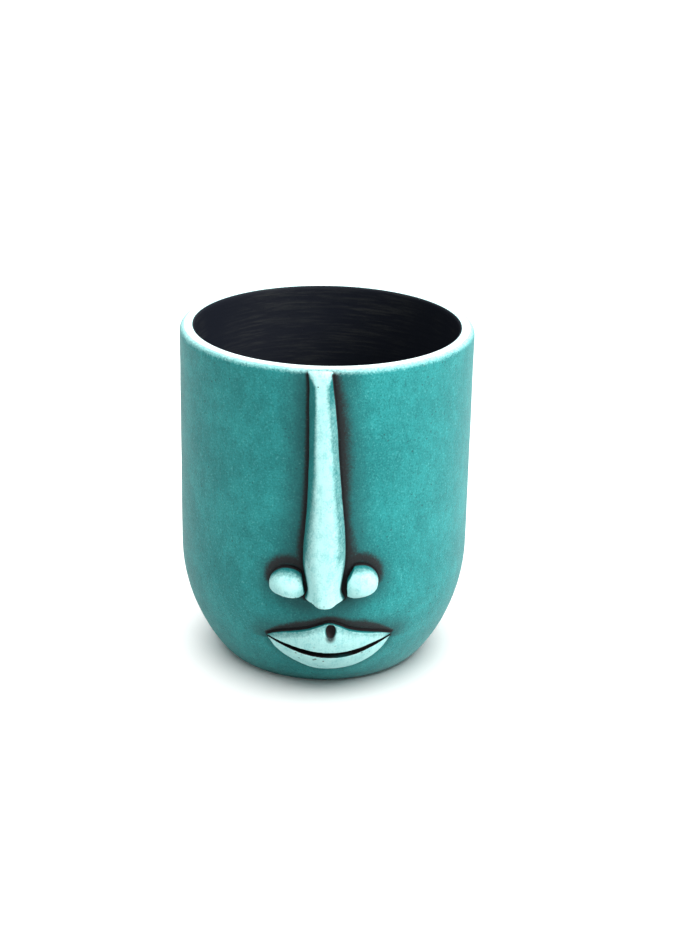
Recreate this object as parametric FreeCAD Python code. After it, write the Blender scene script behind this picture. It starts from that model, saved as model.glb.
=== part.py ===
"""Tiki tumbler: a hand-built clay cup whose face is made of separately modelled pieces
that are scored, slipped and pressed into shallow beds in the wall.

Frame in millimetres: origin at the centre of the standing face, +Z up, face towards -Y,
+X to the right of someone who looks at the face.
"""

import FreeCAD, Part
import math
import os

V = FreeCAD.Vector
UP = V(0, 0, 1)
ORIGIN = V(0, 0, 0)

# ---- cup ----
HEIGHT = 100.0            # standing face to rim
BODY_RADIUS = 42.5        # outside of the straight wall
WALL = 4.0                # clay thickness of the wall
SHOULDER_HEIGHT = 34.0    # the straight wall turns in below this
FOOT_RADIUS = 30.0        # outside edge of the standing face
RIM_ROUND = 1.6           # rounding of the rim's outside edge
RIM_INNER_ROUND = 0.6     # rounding of its inside edge
FOOT_ROUND = 1.0          # rounding of the outside foot edge
FOOT_RING_WIDTH = 5.0     # width of the ring that the cup stands on

# ---- floor, a slab set into a rebate in the foot of the wall ----
FLOOR_THICKNESS = 5.0
FLOOR_RISE = 1.0          # underside of the floor above the standing face
FLOOR_LEDGE = 2.0         # how far the floor laps over the foot ring

# ---- glaze coat inside ----
GLAZE = 0.4
GLAZE_MARGIN = 0.2        # bare clay between the rim's inside rounding and the coat
GLAZE_CORNER = 7.0        # the coat fills the corner between floor and wall to this radius

# ---- how the face is fixed ----
BED_DEPTH = 0.6           # every applied piece is pressed this deep into the wall
PIECE_GAP = 0.5           # least clear gap between the nose and a nostril

# ---- nose, a tapering roll of clay that leans a little ----
NOSE_TOP_DROP = 0.9       # upper end below the rim
NOSE_BRIDGE_HEIGHT = 64.0  # the nose starts to flare here
NOSE_WIDE_HEIGHT = 46.0   # widest level
NOSE_TIP_HEIGHT = 33.3    # cut-off lower end
NOSE_TOP_WIDTH = 6.8
NOSE_BRIDGE_WIDTH = 8.8
NOSE_WIDTH = 12.0         # at the widest level
NOSE_TIP_WIDTH = 9.6
NOSE_TOP_PROUD = 2.2      # how far the ridge stands off the wall
NOSE_BRIDGE_PROUD = 3.9
NOSE_WIDE_PROUD = 5.4
NOSE_TIP_PROUD = 6.3
NOSE_TOP_OFFSET = -1.2    # sideways place of the upper end
NOSE_TIP_OFFSET = 0.6     # sideways place of the tip
NOSE_RIDGE_OFFSET = -0.5  # the ridge leans to one side of the base
NOSE_RIDGE_SHARE = 0.56   # width of the rounded ridge as a share of the base
NOSE_FLANK_SHARE = 0.72   # the flanks rise over this share of the nose's depth

# ---- nostrils, balls of clay cut flat below and pressed flat towards the nose ----
NOSTRIL_HEIGHT = 35.4     # level of the flat cut
NOSTRIL_RISE = 6.9        # top of the ball above the cut
NOSTRIL_HALF_WIDTH = 5.7
NOSTRIL_PROUD = 5.2
NOSTRIL_INNER = 3.4       # flat inner side from the ball's middle
NOSTRIL_MIDDLE = 0.5      # sideways place of the pair's middle
NOSTRIL_CUT_TILT = 9.0    # degrees, the flat cut falls towards the nose

# ---- mouth ----
MOUTH_OFFSET = 2.1        # sideways place of its middle
MOUTH_HALF_WIDTH = 17.8
MOUTH_CORNER_HEIGHT = 19.6
LIP_PEAK_HEIGHT = 26.6    # middle of the upper lip's top edge
LIP_BOTTOM_HEIGHT = 7.8   # middle of the lower lip's bottom edge
LIP_LINE_HEIGHT = 14.7    # middle of the line between the lips
LIP_GAP = 1.7             # width of that line in the middle
LIP_GAP_CORNER = 0.7      # width of that line at the corners
LIP_PROUD = 2.6           # thickness of the lips off the wall in the middle
LIP_CORNER_PROUD = 1.0    # the same at the corners
LIP_CORNER_TRIM = 1.5     # each corner is cut off by this much
LIP_CORNER_SHARE = 0.11   # height left at a corner, as a share of the lip's rise or fall
UPPER_LIP_POWER = 1.2     # the upper lip's edge falls almost straight from its peak
LOWER_LIP_POWER = 1.9     # the lower lip's edge is a round crescent
DIMPLE_WIDTH = 3.2
DIMPLE_LENGTH = 6.0
DIMPLE_DEPTH = 1.2
DIMPLE_DROP = 4.0         # centre of the dimple below the lip's peak

SLAB_REACH = 60.0         # cutting tools reach at least this far past what they cut

FLOOR_TOP = FLOOR_RISE + FLOOR_THICKNESS
RING_INSIDE = FOOT_RADIUS - FOOT_RING_WIDTH
FLOOR_RADIUS = RING_INSIDE + FLOOR_LEDGE
INNER_RADIUS = BODY_RADIUS - WALL


# ---------------------------------------------------------------- cup surfaces

def shoulder_radius(inset):
    """Radius of the arc that joins the straight wall to the foot, inset from the outside."""
    fall = BODY_RADIUS - FOOT_RADIUS
    return (fall ** 2 + SHOULDER_HEIGHT ** 2) / (2 * fall) - inset


def curved_wall(inset, height):
    """Radius of the curved lower wall at a height, inset from the outside along its normal."""
    centre = BODY_RADIUS - shoulder_radius(0)
    drop = SHOULDER_HEIGHT - height
    return centre + math.sqrt(shoulder_radius(inset) ** 2 - drop ** 2)


def wall_radius(height):
    """Outside radius of the cup at any height."""
    if height >= SHOULDER_HEIGHT:
        return BODY_RADIUS
    return curved_wall(0, height)


def rz(radius, height):
    return V(radius, 0, height)


def line(a, b):
    return Part.LineSegment(a, b).toShape()


def shoulder_arc(inset, low, high, shift=0.0):
    """Profile edge of the curved lower wall between two heights, moved towards the axis by shift."""
    levels = (low, (low + high) / 2, high)
    return Part.Arc(*(rz(curved_wall(inset, level) - shift, level) for level in levels)).toShape()


def spun(edges):
    """Solid of revolution about Z from a closed profile in the XZ plane."""
    face = Part.Face(Part.Wire(Part.__sortEdges__(edges)))
    return face.revolve(ORIGIN, UP, 360)


def body_core(inset, top=HEIGHT, bottom=0.0, shift=0.0):
    """Solid whose outside is the cup's outside less an inset, and less a shift in radius.

    A negative inset stands proud of the cup. The shift makes the same shape with a tighter curve
    round its axis.
    """
    foot = curved_wall(inset, bottom) - shift
    side = BODY_RADIUS - inset - shift
    return spun([
        line(rz(0, bottom), rz(foot, bottom)),
        shoulder_arc(inset, bottom, SHOULDER_HEIGHT, shift),
        line(rz(side, SHOULDER_HEIGHT), rz(side, top)),
        line(rz(side, top), rz(0, top)),
        line(rz(0, top), rz(0, bottom)),
    ])


def edges_at(shape, radius, height, slack=0.05):
    """The circular edges of a spun shape that lie at a radius and a height."""
    found = []
    for edge in shape.Edges:
        box = edge.BoundBox
        level = abs(box.ZMin - height) < slack and abs(box.ZMax - height) < slack
        if level and abs(box.XMax - radius) < slack:
            found.append(edge)
    return found


# ---------------------------------------------------------------- cup pieces

def make_wall(applied):
    """Wall from foot ring to rim, with the floor's rebate and a bed for each applied piece."""
    hollow = body_core(WALL, bottom=FLOOR_TOP)
    wall = body_core(0).cut(hollow)
    wall = wall.cut(make_floor())
    wall = wall.cut(Part.makeCylinder(RING_INSIDE, FLOOR_RISE))
    wall = wall.makeFillet(RIM_ROUND, edges_at(wall, BODY_RADIUS, HEIGHT))
    wall = wall.makeFillet(RIM_INNER_ROUND, edges_at(wall, INNER_RADIUS, HEIGHT))
    wall = wall.makeFillet(FOOT_ROUND, edges_at(wall, FOOT_RADIUS, 0))
    for piece in applied:
        wall = wall.cut(piece)
    return wall


def make_floor():
    """Round slab that drops into the rebate in the foot of the wall."""
    return Part.makeCylinder(FLOOR_RADIUS, FLOOR_THICKNESS, V(0, 0, FLOOR_RISE))


def make_glaze():
    """Glass coat over the inside, thickest in the corner between floor and wall."""
    inset = WALL + GLAZE
    floor = FLOOR_TOP + GLAZE
    side = BODY_RADIUS - inset
    top = HEIGHT - RIM_INNER_ROUND - GLAZE_MARGIN
    clay_foot = curved_wall(WALL, FLOOR_TOP)
    coat_foot = curved_wall(inset, floor)
    coat = spun([
        line(rz(0, FLOOR_TOP), rz(clay_foot, FLOOR_TOP)),
        shoulder_arc(WALL, FLOOR_TOP, SHOULDER_HEIGHT),
        line(rz(INNER_RADIUS, SHOULDER_HEIGHT), rz(INNER_RADIUS, top)),
        line(rz(INNER_RADIUS, top), rz(side, top)),
        line(rz(side, top), rz(side, SHOULDER_HEIGHT)),
        shoulder_arc(inset, floor, SHOULDER_HEIGHT),
        line(rz(coat_foot, floor), rz(0, floor)),
        line(rz(0, floor), rz(0, FLOOR_TOP)),
    ])
    return coat.makeFillet(GLAZE_CORNER, edges_at(coat, coat_foot, floor))


# ---------------------------------------------------------------- nose and nostrils

def nose_section(height, width, proud):
    """Closed level outline of the nose: two flanks, a rounded ridge and a back in the clay."""
    down = (HEIGHT - NOSE_TOP_DROP - height) / (HEIGHT - NOSE_TOP_DROP - NOSE_TIP_HEIGHT)
    middle = NOSE_TOP_OFFSET + (NOSE_TIP_OFFSET - NOSE_TOP_OFFSET) * down
    crown = middle + NOSE_RIDGE_OFFSET
    half = width / 2
    ridge = half * NOSE_RIDGE_SHARE
    foot = BED_DEPTH - math.sqrt(wall_radius(height) ** 2 - half ** 2)
    back = foot + BED_DEPTH
    crest = -(wall_radius(height) + proud)
    brow = foot + (crest - foot) * NOSE_FLANK_SHARE

    def at(x, y):
        return V(x, y, height)

    return Part.Wire([
        line(at(middle - half, back), at(middle - half, foot)),
        line(at(middle - half, foot), at(crown - ridge, brow)),
        Part.Arc(at(crown - ridge, brow), at(crown, crest), at(crown + ridge, brow)).toShape(),
        line(at(crown + ridge, brow), at(middle + half, foot)),
        line(at(middle + half, foot), at(middle + half, back)),
        line(at(middle + half, back), at(middle - half, back)),
    ])


def make_nose():
    """Long tapering roll of clay that runs from the rim to a flat cut above the mouth.

    Its upper stretch is straight, which takes a section halfway between its ends.
    """
    top = HEIGHT - NOSE_TOP_DROP
    halfway = (
        (top + NOSE_BRIDGE_HEIGHT) / 2,
        (NOSE_TOP_WIDTH + NOSE_BRIDGE_WIDTH) / 2,
        (NOSE_TOP_PROUD + NOSE_BRIDGE_PROUD) / 2,
    )
    sections = [
        nose_section(top, NOSE_TOP_WIDTH, NOSE_TOP_PROUD),
        nose_section(*halfway),
        nose_section(NOSE_BRIDGE_HEIGHT, NOSE_BRIDGE_WIDTH, NOSE_BRIDGE_PROUD),
        nose_section(NOSE_WIDE_HEIGHT, NOSE_WIDTH, NOSE_WIDE_PROUD),
        nose_section(NOSE_TIP_HEIGHT, NOSE_TIP_WIDTH, NOSE_TIP_PROUD),
    ]
    return Part.makeLoft(sections, True, False).cut(body_core(BED_DEPTH))


def ellipsoid(half_x, half_y, half_z):
    shape = FreeCAD.Matrix()
    shape.scale(V(half_x, half_y, half_z))
    return Part.makeSphere(1.0).transformGeometry(shape)


def onto_wall(piece, x, height, proud=0.0):
    """Move a piece from the origin to the wall's face, at a sideways place and a height."""
    piece.translate(V(0, -(wall_radius(height) + proud), height))
    piece.rotate(ORIGIN, UP, math.degrees(math.asin(x / BODY_RADIUS)))
    return piece


def make_nostril(side, nose):
    """Ball of clay on one side of the nose tip: side is -1 for left and 1 for right."""
    inner_edge = NOSE_WIDTH / 2 + PIECE_GAP
    ball = ellipsoid(NOSTRIL_HALF_WIDTH, NOSTRIL_PROUD, NOSTRIL_RISE)
    corner = V(-SLAB_REACH / 2, -SLAB_REACH / 2, 0)
    above_cut = Part.makeBox(SLAB_REACH, SLAB_REACH, SLAB_REACH, corner)
    above_cut.rotate(ORIGIN, V(0, 1, 0), -side * NOSTRIL_CUT_TILT)
    ball = ball.common(above_cut)
    ball = onto_wall(ball, NOSTRIL_MIDDLE + side * (inner_edge + NOSTRIL_INNER), NOSTRIL_HEIGHT)
    low = inner_edge if side > 0 else -inner_edge - SLAB_REACH
    room = Part.makeBox(SLAB_REACH, SLAB_REACH, HEIGHT, V(NOSTRIL_MIDDLE + low, -SLAB_REACH, 0))
    return ball.common(room).cut(body_core(BED_DEPTH)).cut(nose)


# ---------------------------------------------------------------- mouth

def front(share, height):
    """Point in front of the cup, at a share of the way from the mouth's middle to its corner."""
    return V(MOUTH_OFFSET + share * MOUTH_HALF_WIDTH, -SLAB_REACH, height)


def spline(points):
    curve = Part.BSplineCurve()
    curve.interpolate(points)
    return curve.toShape()


def lip_line(side):
    """Curve along one side of the line between the lips: side is 1 above it and -1 below it."""
    fall = MOUTH_CORNER_HEIGHT - LIP_LINE_HEIGHT
    points = []
    for share in (-1.0, -0.5, 0.0, 0.5, 1.0):
        gap = LIP_GAP + (LIP_GAP_CORNER - LIP_GAP) * share ** 2
        height = MOUTH_CORNER_HEIGHT - fall * (1 - share ** 2) + side * gap / 2
        points.append(front(share, height))
    return points


def lip_outline(middle_height, power):
    """Curve along the outer edge of a lip, from corner to corner through its middle."""
    reach = middle_height - MOUTH_CORNER_HEIGHT
    points = []
    for share in (-1.0, -0.7, -0.4, -0.15, 0.0, 0.15, 0.4, 0.7, 1.0):
        full = 1 - (1 - LIP_CORNER_SHARE) * abs(share) ** power
        points.append(front(share, MOUTH_CORNER_HEIGHT + reach * full))
    return points


def lip_layer():
    """Solid whose outside is the lips' face: LIP_PROUD off the wall in the middle of the mouth
    and LIP_CORNER_PROUD off it at the corners, because it bends tighter than the wall."""
    middle = BODY_RADIUS + LIP_PROUD
    corner = math.sqrt(BODY_RADIUS ** 2 - MOUTH_HALF_WIDTH ** 2) + LIP_CORNER_PROUD
    shift = (middle ** 2 - corner ** 2 - MOUTH_HALF_WIDTH ** 2) / (2 * (middle - corner))
    layer = body_core(-LIP_PROUD, bottom=-LIP_PROUD / 2, shift=shift)
    layer.translate(V(MOUTH_OFFSET, -shift, 0))
    return layer


def lip_solid(inner_edge, outer_edge):
    """Lip between its two edge curves, from its bed to the lips' face."""
    outline = Part.Wire(Part.__sortEdges__([
        spline(inner_edge), spline(outer_edge),
        line(inner_edge[0], outer_edge[0]), line(inner_edge[-1], outer_edge[-1]),
    ]))
    block = Part.Face(outline).extrude(V(0, SLAB_REACH, 0))
    reach = MOUTH_HALF_WIDTH - LIP_CORNER_TRIM
    trim = Part.makeBox(2 * reach, SLAB_REACH, HEIGHT, V(MOUTH_OFFSET - reach, -SLAB_REACH, 0))
    return block.common(lip_layer()).common(trim).cut(body_core(BED_DEPTH))


def make_upper_lip():
    """Upper lip, with a thumbed dimple in the middle."""
    lip = lip_solid(lip_line(1), lip_outline(LIP_PEAK_HEIGHT, UPPER_LIP_POWER))
    dimple = ellipsoid(DIMPLE_WIDTH / 2, DIMPLE_DEPTH, DIMPLE_LENGTH / 2)
    return lip.cut(onto_wall(dimple, MOUTH_OFFSET, LIP_PEAK_HEIGHT - DIMPLE_DROP, LIP_PROUD))


def make_lower_lip():
    """Lower lip, a crescent under the line of the mouth."""
    return lip_solid(lip_line(-1), lip_outline(LIP_BOTTOM_HEIGHT, LOWER_LIP_POWER))


def main():
    nose = make_nose()
    applied = {
        "nose_ridge": nose,
        "nostril_left": make_nostril(-1, nose),
        "nostril_right": make_nostril(1, nose),
        "upper_lip": make_upper_lip(),
        "lower_lip": make_lower_lip(),
    }
    pieces = {
        "cup_wall": make_wall(applied.values()),
        "cup_floor": make_floor(),
        "inner_glaze": make_glaze(),
        **applied,
    }
    os.makedirs("parts", exist_ok=True)
    for name, shape in pieces.items():
        assert shape.isValid(), name
        print(f"{name}: {len(shape.Solids)} solid(s), {shape.Volume / 1000:.2f} cm3, {shape.BoundBox}")
        shape.exportStep(f"parts/{name}.step")


main()
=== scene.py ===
"""Tiki tumbler: the looks of a hand-built clay cup, stained teal, with a pale rubbed face.

Everything is in metres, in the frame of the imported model: origin at the centre of the standing
face, +Z up, face towards -Y, +X to the right of someone who looks at the face.
"""

import math

import bpy
import numpy as np
from mathutils import Matrix, Vector
from mathutils.bvhtree import BVHTree


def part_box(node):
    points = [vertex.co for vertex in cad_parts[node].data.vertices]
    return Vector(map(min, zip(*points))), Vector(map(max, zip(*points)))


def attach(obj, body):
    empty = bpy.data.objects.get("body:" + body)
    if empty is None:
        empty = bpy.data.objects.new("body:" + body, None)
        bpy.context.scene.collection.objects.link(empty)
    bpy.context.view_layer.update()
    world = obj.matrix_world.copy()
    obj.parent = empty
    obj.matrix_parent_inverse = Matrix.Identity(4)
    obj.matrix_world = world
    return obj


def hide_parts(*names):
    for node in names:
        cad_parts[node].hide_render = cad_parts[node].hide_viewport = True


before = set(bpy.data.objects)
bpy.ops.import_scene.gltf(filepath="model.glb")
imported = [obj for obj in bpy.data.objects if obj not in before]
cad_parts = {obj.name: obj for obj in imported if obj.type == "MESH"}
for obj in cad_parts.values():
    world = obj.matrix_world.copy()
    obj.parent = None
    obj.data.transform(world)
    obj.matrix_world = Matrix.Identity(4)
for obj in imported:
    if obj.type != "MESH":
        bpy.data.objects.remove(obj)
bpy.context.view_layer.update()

MM = 0.001

# ---- sizes read from the frame ----
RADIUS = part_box("cup_wall")[1].x
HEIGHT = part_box("cup_wall")[1].z
CLAY_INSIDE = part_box("inner_glaze")[1].x
GLAZE_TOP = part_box("inner_glaze")[1].z
FLOOR_LOW, FLOOR_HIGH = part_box("cup_floor")
MOUTH_MIDDLE = (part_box("upper_lip")[0].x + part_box("upper_lip")[1].x) / 2

# ---- cup ----
SHOULDER_HEIGHT = 34 * MM
FOOT_RADIUS = 30 * MM
FOOT_RING_WIDTH = 5 * MM
WALL = RADIUS - CLAY_INSIDE
RIM_ROUND = 1.6 * MM
RIM_INNER_ROUND = 0.6 * MM
GLAZE = 0.4 * MM
GLAZE_CORNER = 7 * MM
AXIS_RING = 2 * MM        # smallest ring of what is closed on the axis
SEGMENTS = 80             # around the cup, before it is subdivided
WOBBLE = 0.35 * MM        # hand-made unevenness of the outside
WOBBLE_SPREAD = 26 * MM
WOBBLE_START = 3 * MM     # the foot stays flat up to here

# ---- face ----
SEAM_DEPTH = 0.35 * MM    # groove pressed into the wall around each applied piece
SEAM_REACH = 1.3 * MM
MOUTH_HEIGHT = 17 * MM    # middle of the mouth
LIP_PROUD = 2.7 * MM
BED_DEPTH = 1.0 * MM      # how deep the applied pieces sit in the wall
BED_STEP = 2 * MM         # between the rings of the bed for the lips
BED_STEPS = 30
NOSTRIL_GRAIN = 0.2 * MM  # size of the even skin that a cut piece gets
LIP_GRAIN = 0.18 * MM


# ---------------------------------------------------------------- the cup's surface

FALL = RADIUS - FOOT_RADIUS
WALL_ARC = (FALL ** 2 + SHOULDER_HEIGHT ** 2) / (2 * FALL)    # radius of the curve to the foot


def wall_radius(height, inset=0.0):
    """Radius of the wall's outside at a height, less an inset along its normal."""
    if height >= SHOULDER_HEIGHT:
        return RADIUS - inset
    drop = SHOULDER_HEIGHT - height
    return RADIUS - WALL_ARC + math.sqrt((WALL_ARC - inset) ** 2 - drop ** 2)


def wall_slope(height):
    """Angle of the wall's outward normal below level."""
    return math.asin(max(0.0, SHOULDER_HEIGHT - height) / WALL_ARC)


def wall_normal(point):
    """The outside's outward direction at a point on or near it."""
    slope = wall_slope(point.z)
    level = Vector((point.x, point.y, 0)).normalized()
    return level * math.cos(slope) - Vector((0, 0, math.sin(slope)))


def proudness(point):
    """How far a point stands off the wall."""
    level = math.hypot(point.x, point.y) - wall_radius(max(point.z, 0.0))
    return level * math.cos(wall_slope(point.z))


def ease(value, low, high):
    """0 at low and 1 at high, with a soft step between. low may be above high."""
    share = min(1.0, max(0.0, (value - low) / (high - low)))
    return share * share * (3 - 2 * share)


# ---------------------------------------------------------------- modelling by hand

def select_nothing():
    bpy.ops.object.select_all(action="DESELECT")


def select_only(piece):
    select_nothing()
    piece.select_set(True)
    bpy.context.view_layer.objects.active = piece


def settle(name):
    """Name what was just added, and put its place, turn and scale into its mesh."""
    piece = bpy.context.active_object
    piece.name = name
    piece.data.name = name
    select_only(piece)
    bpy.ops.object.transform_apply(location=True, rotation=True, scale=True)
    return piece


def shaped_by(piece, kind, **settings):
    """Add a modifier with these settings and apply it."""
    modifier = piece.modifiers.new(kind.title(), kind)
    for key, value in settings.items():
        setattr(modifier, key, value)
    select_only(piece)
    bpy.ops.object.modifier_apply(modifier=modifier.name)
    return piece


def discard(piece):
    bpy.data.objects.remove(piece)


def subdivided(piece, levels):
    return shaped_by(piece, "SUBSURF", levels=levels, render_levels=levels)


def uneven(piece, size, strength, group=""):
    """Press a soft random unevenness into a piece."""
    texture = bpy.data.textures.new(piece.name + "_unevenness", "CLOUDS")
    texture.noise_scale = size
    texture.noise_depth = 2
    return shaped_by(
        piece, "DISPLACE", texture=texture, strength=strength, mid_level=0.5,
        texture_coords="LOCAL", vertex_group=group,
    )


def softened(piece, grain, rounds):
    """Turn a cut piece into one even skin of a fine grain, and wear its edges round."""
    shaped_by(piece, "REMESH", mode="VOXEL", voxel_size=grain, use_smooth_shade=True)
    return shaped_by(piece, "SMOOTH", factor=0.5, iterations=rounds)


def faces_out(piece):
    """Join what touches, turn all faces outward and shade them smooth."""
    select_only(piece)
    bpy.ops.object.mode_set(mode="EDIT")
    bpy.ops.mesh.select_all(action="SELECT")
    bpy.ops.mesh.remove_doubles(threshold=0.001 * MM)
    bpy.ops.mesh.normals_make_consistent(inside=False)
    bpy.ops.object.mode_set(mode="OBJECT")
    bpy.ops.object.shade_smooth()
    return piece


def thrown(name, rings, ends):
    """Pull a circle up through rings of (radius, height), as on a wheel.

    ends is "joined" to join the last ring to the first, or "closed" to close both on the axis.
    """
    radius, height = rings[0]
    select_nothing()
    bpy.ops.mesh.primitive_circle_add(vertices=SEGMENTS, radius=radius, location=(0, 0, height))
    piece = settle(name)
    bpy.ops.object.mode_set(mode="EDIT")
    bpy.ops.mesh.select_all(action="SELECT")
    if ends == "closed":
        bpy.ops.mesh.extrude_region_move(TRANSFORM_OT_translate={"value": (0, 0, 0)})
        bpy.ops.mesh.merge(type="CENTER")
        bpy.ops.mesh.select_all(action="DESELECT")
        bpy.ops.mesh.select_non_manifold()
    for (r0, z0), (r1, z1) in zip(rings, rings[1:]):
        bpy.ops.mesh.extrude_region_move(TRANSFORM_OT_translate={"value": (0, 0, z1 - z0)})
        bpy.ops.transform.resize(value=(r1 / r0, r1 / r0, 1), center_override=(0, 0, z1))
    if ends == "closed":
        bpy.ops.mesh.extrude_region_move(TRANSFORM_OT_translate={"value": (0, 0, 0)})
        bpy.ops.mesh.merge(type="CENTER")
    else:
        bpy.ops.mesh.select_all(action="DESELECT")
        bpy.ops.mesh.select_non_manifold()
        bpy.ops.mesh.bridge_edge_loops()
    bpy.ops.object.mode_set(mode="OBJECT")
    return faces_out(piece)


def quarter_turn(centre_radius, centre_height, round_radius, start, steps=3):
    """(radius, height) points round a quarter circle, from the angle start, anticlockwise."""
    points = []
    for step in range(steps + 1):
        angle = math.radians(start + 90 * step / steps)
        points.append((centre_radius + round_radius * math.cos(angle),
                       centre_height + round_radius * math.sin(angle)))
    return points


def rings_along(start, end, count, inset=0.0):
    """(radius, height) rings along the wall, up or down, from the one after start to end."""
    heights = [start + (end - start) * step / count for step in range(1, count + 1)]
    return [(wall_radius(height, inset), height) for height in heights]


def drawn(name, runs, depth):
    """Solid with a flat outline seen from the front, reaching back and forward by depth.

    runs are lists of (x, z) points in millimetres. The outline is smooth along each run and has a
    corner where two runs meet.
    """
    curve = bpy.data.curves.new(name, "CURVE")
    curve.dimensions = "2D"
    curve.fill_mode = "BOTH"
    curve.extrude = depth
    curve.resolution_u = 6
    spline = curve.splines.new("BEZIER")
    points = [(x, z, index in (0, len(run) - 1))
              for run in runs for index, (x, z) in enumerate(run)]
    spline.bezier_points.add(len(points) - 1)
    for knot, (x, z, corner) in zip(spline.bezier_points, points):
        knot.co = (x * MM, z * MM, 0)
        knot.handle_left_type = "VECTOR" if corner else "AUTO"
        knot.handle_right_type = "VECTOR" if corner else "AUTO"
    spline.use_cyclic_u = True
    shape = bpy.data.objects.new(name, curve)
    bpy.context.scene.collection.objects.link(shape)
    shape.rotation_euler = (math.radians(90), 0, 0)
    select_only(shape)
    bpy.ops.object.convert(target="MESH")
    return faces_out(settle(name))


def ball(name, radii, centre, pitch=0.0, turn=0.0):
    """Ball of clay, stretched to three radii, tipped forward by pitch and turned about Z."""
    select_nothing()
    bpy.ops.mesh.primitive_uv_sphere_add(
        segments=64, ring_count=32, radius=1, location=centre, scale=radii,
        rotation=(pitch, 0, turn),
    )
    return settle(name)


def sliced(piece, point, direction):
    """Cut off what lies beyond a plane, on the side that direction points to."""
    select_only(piece)
    bpy.ops.object.mode_set(mode="EDIT")
    bpy.ops.mesh.select_all(action="SELECT")
    bpy.ops.mesh.bisect(plane_co=point, plane_no=direction, use_fill=True, clear_outer=True)
    bpy.ops.object.mode_set(mode="OBJECT")
    return faces_out(piece)


def cut_with(piece, tool, operation):
    """Keep what a piece shares with a tool, or what is left of it without the tool."""
    return shaped_by(piece, "BOOLEAN", object=tool, operation=operation, solver="EXACT")


# ---------------------------------------------------------------- cup, floor and glaze

def make_wall():
    """The clay wall: foot ring, outside, rim, inside, and the rebate that holds the floor."""
    ring_inside = FOOT_RADIUS - FOOT_RING_WIDTH
    floor_radius = FLOOR_HIGH.x
    clear_of_rim = HEIGHT - 2 * MM
    above_floor = FLOOR_HIGH.z + 1 * MM
    rings = [(FOOT_RADIUS - 1.2 * MM, 0.0), (FOOT_RADIUS - 0.4 * MM, 0.1 * MM),
             (FOOT_RADIUS + 0.05 * MM, 0.5 * MM)]
    rings += rings_along(0.0, SHOULDER_HEIGHT, 16)
    rings += rings_along(SHOULDER_HEIGHT, HEIGHT - 2 * RIM_ROUND, 26)
    rings += quarter_turn(RADIUS - RIM_ROUND, HEIGHT - RIM_ROUND, RIM_ROUND, 0)
    rings += [(RADIUS - WALL / 2, HEIGHT)]
    rings += quarter_turn(
        CLAY_INSIDE + RIM_INNER_ROUND, HEIGHT - RIM_INNER_ROUND, RIM_INNER_ROUND, 90)
    rings += rings_along(clear_of_rim, SHOULDER_HEIGHT, 6, WALL)
    rings += rings_along(SHOULDER_HEIGHT, above_floor, 10, WALL)
    rings += rings_along(above_floor, FLOOR_HIGH.z, 2, WALL)
    rings += [(floor_radius, FLOOR_HIGH.z), (floor_radius, FLOOR_LOW.z),
              (ring_inside, FLOOR_LOW.z), (ring_inside, 0.3 * MM), (ring_inside + 0.4 * MM, 0.0)]
    wall = thrown("clay_wall", rings, "joined")
    subdivided(wall, 2)
    outside = wall.vertex_groups.new(name="outside")
    moved = [v.index for v in wall.data.vertices
             if WOBBLE_START < v.co.z < HEIGHT - RIM_ROUND and proudness(v.co) > -WALL / 2]
    outside.add(moved, 1.0, "REPLACE")
    return uneven(wall, WOBBLE_SPREAD, WOBBLE, "outside")


def make_floor():
    """The floor slab, thumbed slightly hollow below, where the foot ring keeps it off the table."""
    edge = 0.6 * MM
    radius = FLOOR_HIGH.x
    rings = [(AXIS_RING, FLOOR_LOW.z + 0.35 * MM), (radius * 0.3, FLOOR_LOW.z + 0.3 * MM),
             (radius * 0.6, FLOOR_LOW.z + 0.15 * MM), (radius * 0.85, FLOOR_LOW.z + 0.02 * MM),
             (radius - edge, FLOOR_LOW.z), (radius, FLOOR_LOW.z + edge),
             (radius, FLOOR_HIGH.z - edge), (radius - edge, FLOOR_HIGH.z),
             (AXIS_RING, FLOOR_HIGH.z)]
    return subdivided(thrown("floor_slab", rings, "closed"), 2)


def make_glaze():
    """The black glass coat, brushed on inside, up to the rim and thickest in the corner."""
    inset = WALL + GLAZE
    floor = FLOOR_HIGH.z + GLAZE
    clay_foot = wall_radius(FLOOR_HIGH.z, WALL)
    corner_height = floor + GLAZE_CORNER
    corner_radius = wall_radius(corner_height, inset + GLAZE_CORNER)
    sweep = 90 - math.degrees(wall_slope(corner_height))
    steps = 5
    coat = [(AXIS_RING, floor), (corner_radius * 0.4, floor), (corner_radius * 0.8, floor)]
    for step in range(steps + 1):
        angle = math.radians(-90 + sweep * step / steps)
        coat.append((corner_radius + GLAZE_CORNER * math.cos(angle),
                     corner_height + GLAZE_CORNER * math.sin(angle)))
    corner_top = coat[-1][1]
    coat += rings_along(corner_top, SHOULDER_HEIGHT, 8, inset)
    coat += rings_along(SHOULDER_HEIGHT, GLAZE_TOP, 16, inset)
    # the coat's edge laps over the inner edge of the rim
    coat += [(CLAY_INSIDE - 0.2 * MM, HEIGHT - 0.3 * MM),
             (CLAY_INSIDE + 0.05 * MM, HEIGHT - 0.08 * MM),
             (CLAY_INSIDE + 0.3 * MM, HEIGHT - 0.04 * MM),
             (CLAY_INSIDE + 0.35 * MM, HEIGHT - 0.3 * MM)]
    # and its back lies on the clay, down to the floor
    coat += [(CLAY_INSIDE, SHOULDER_HEIGHT * 2)]
    coat += rings_along(SHOULDER_HEIGHT * 2, SHOULDER_HEIGHT, 2, WALL)
    coat += rings_along(SHOULDER_HEIGHT, FLOOR_HIGH.z, 10, WALL)
    coat += [(clay_foot * 0.95, FLOOR_HIGH.z), (clay_foot * 0.5, FLOOR_HIGH.z),
             (AXIS_RING, FLOOR_HIGH.z)]
    return subdivided(thrown("glaze_coat", coat, "closed"), 2)


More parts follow.
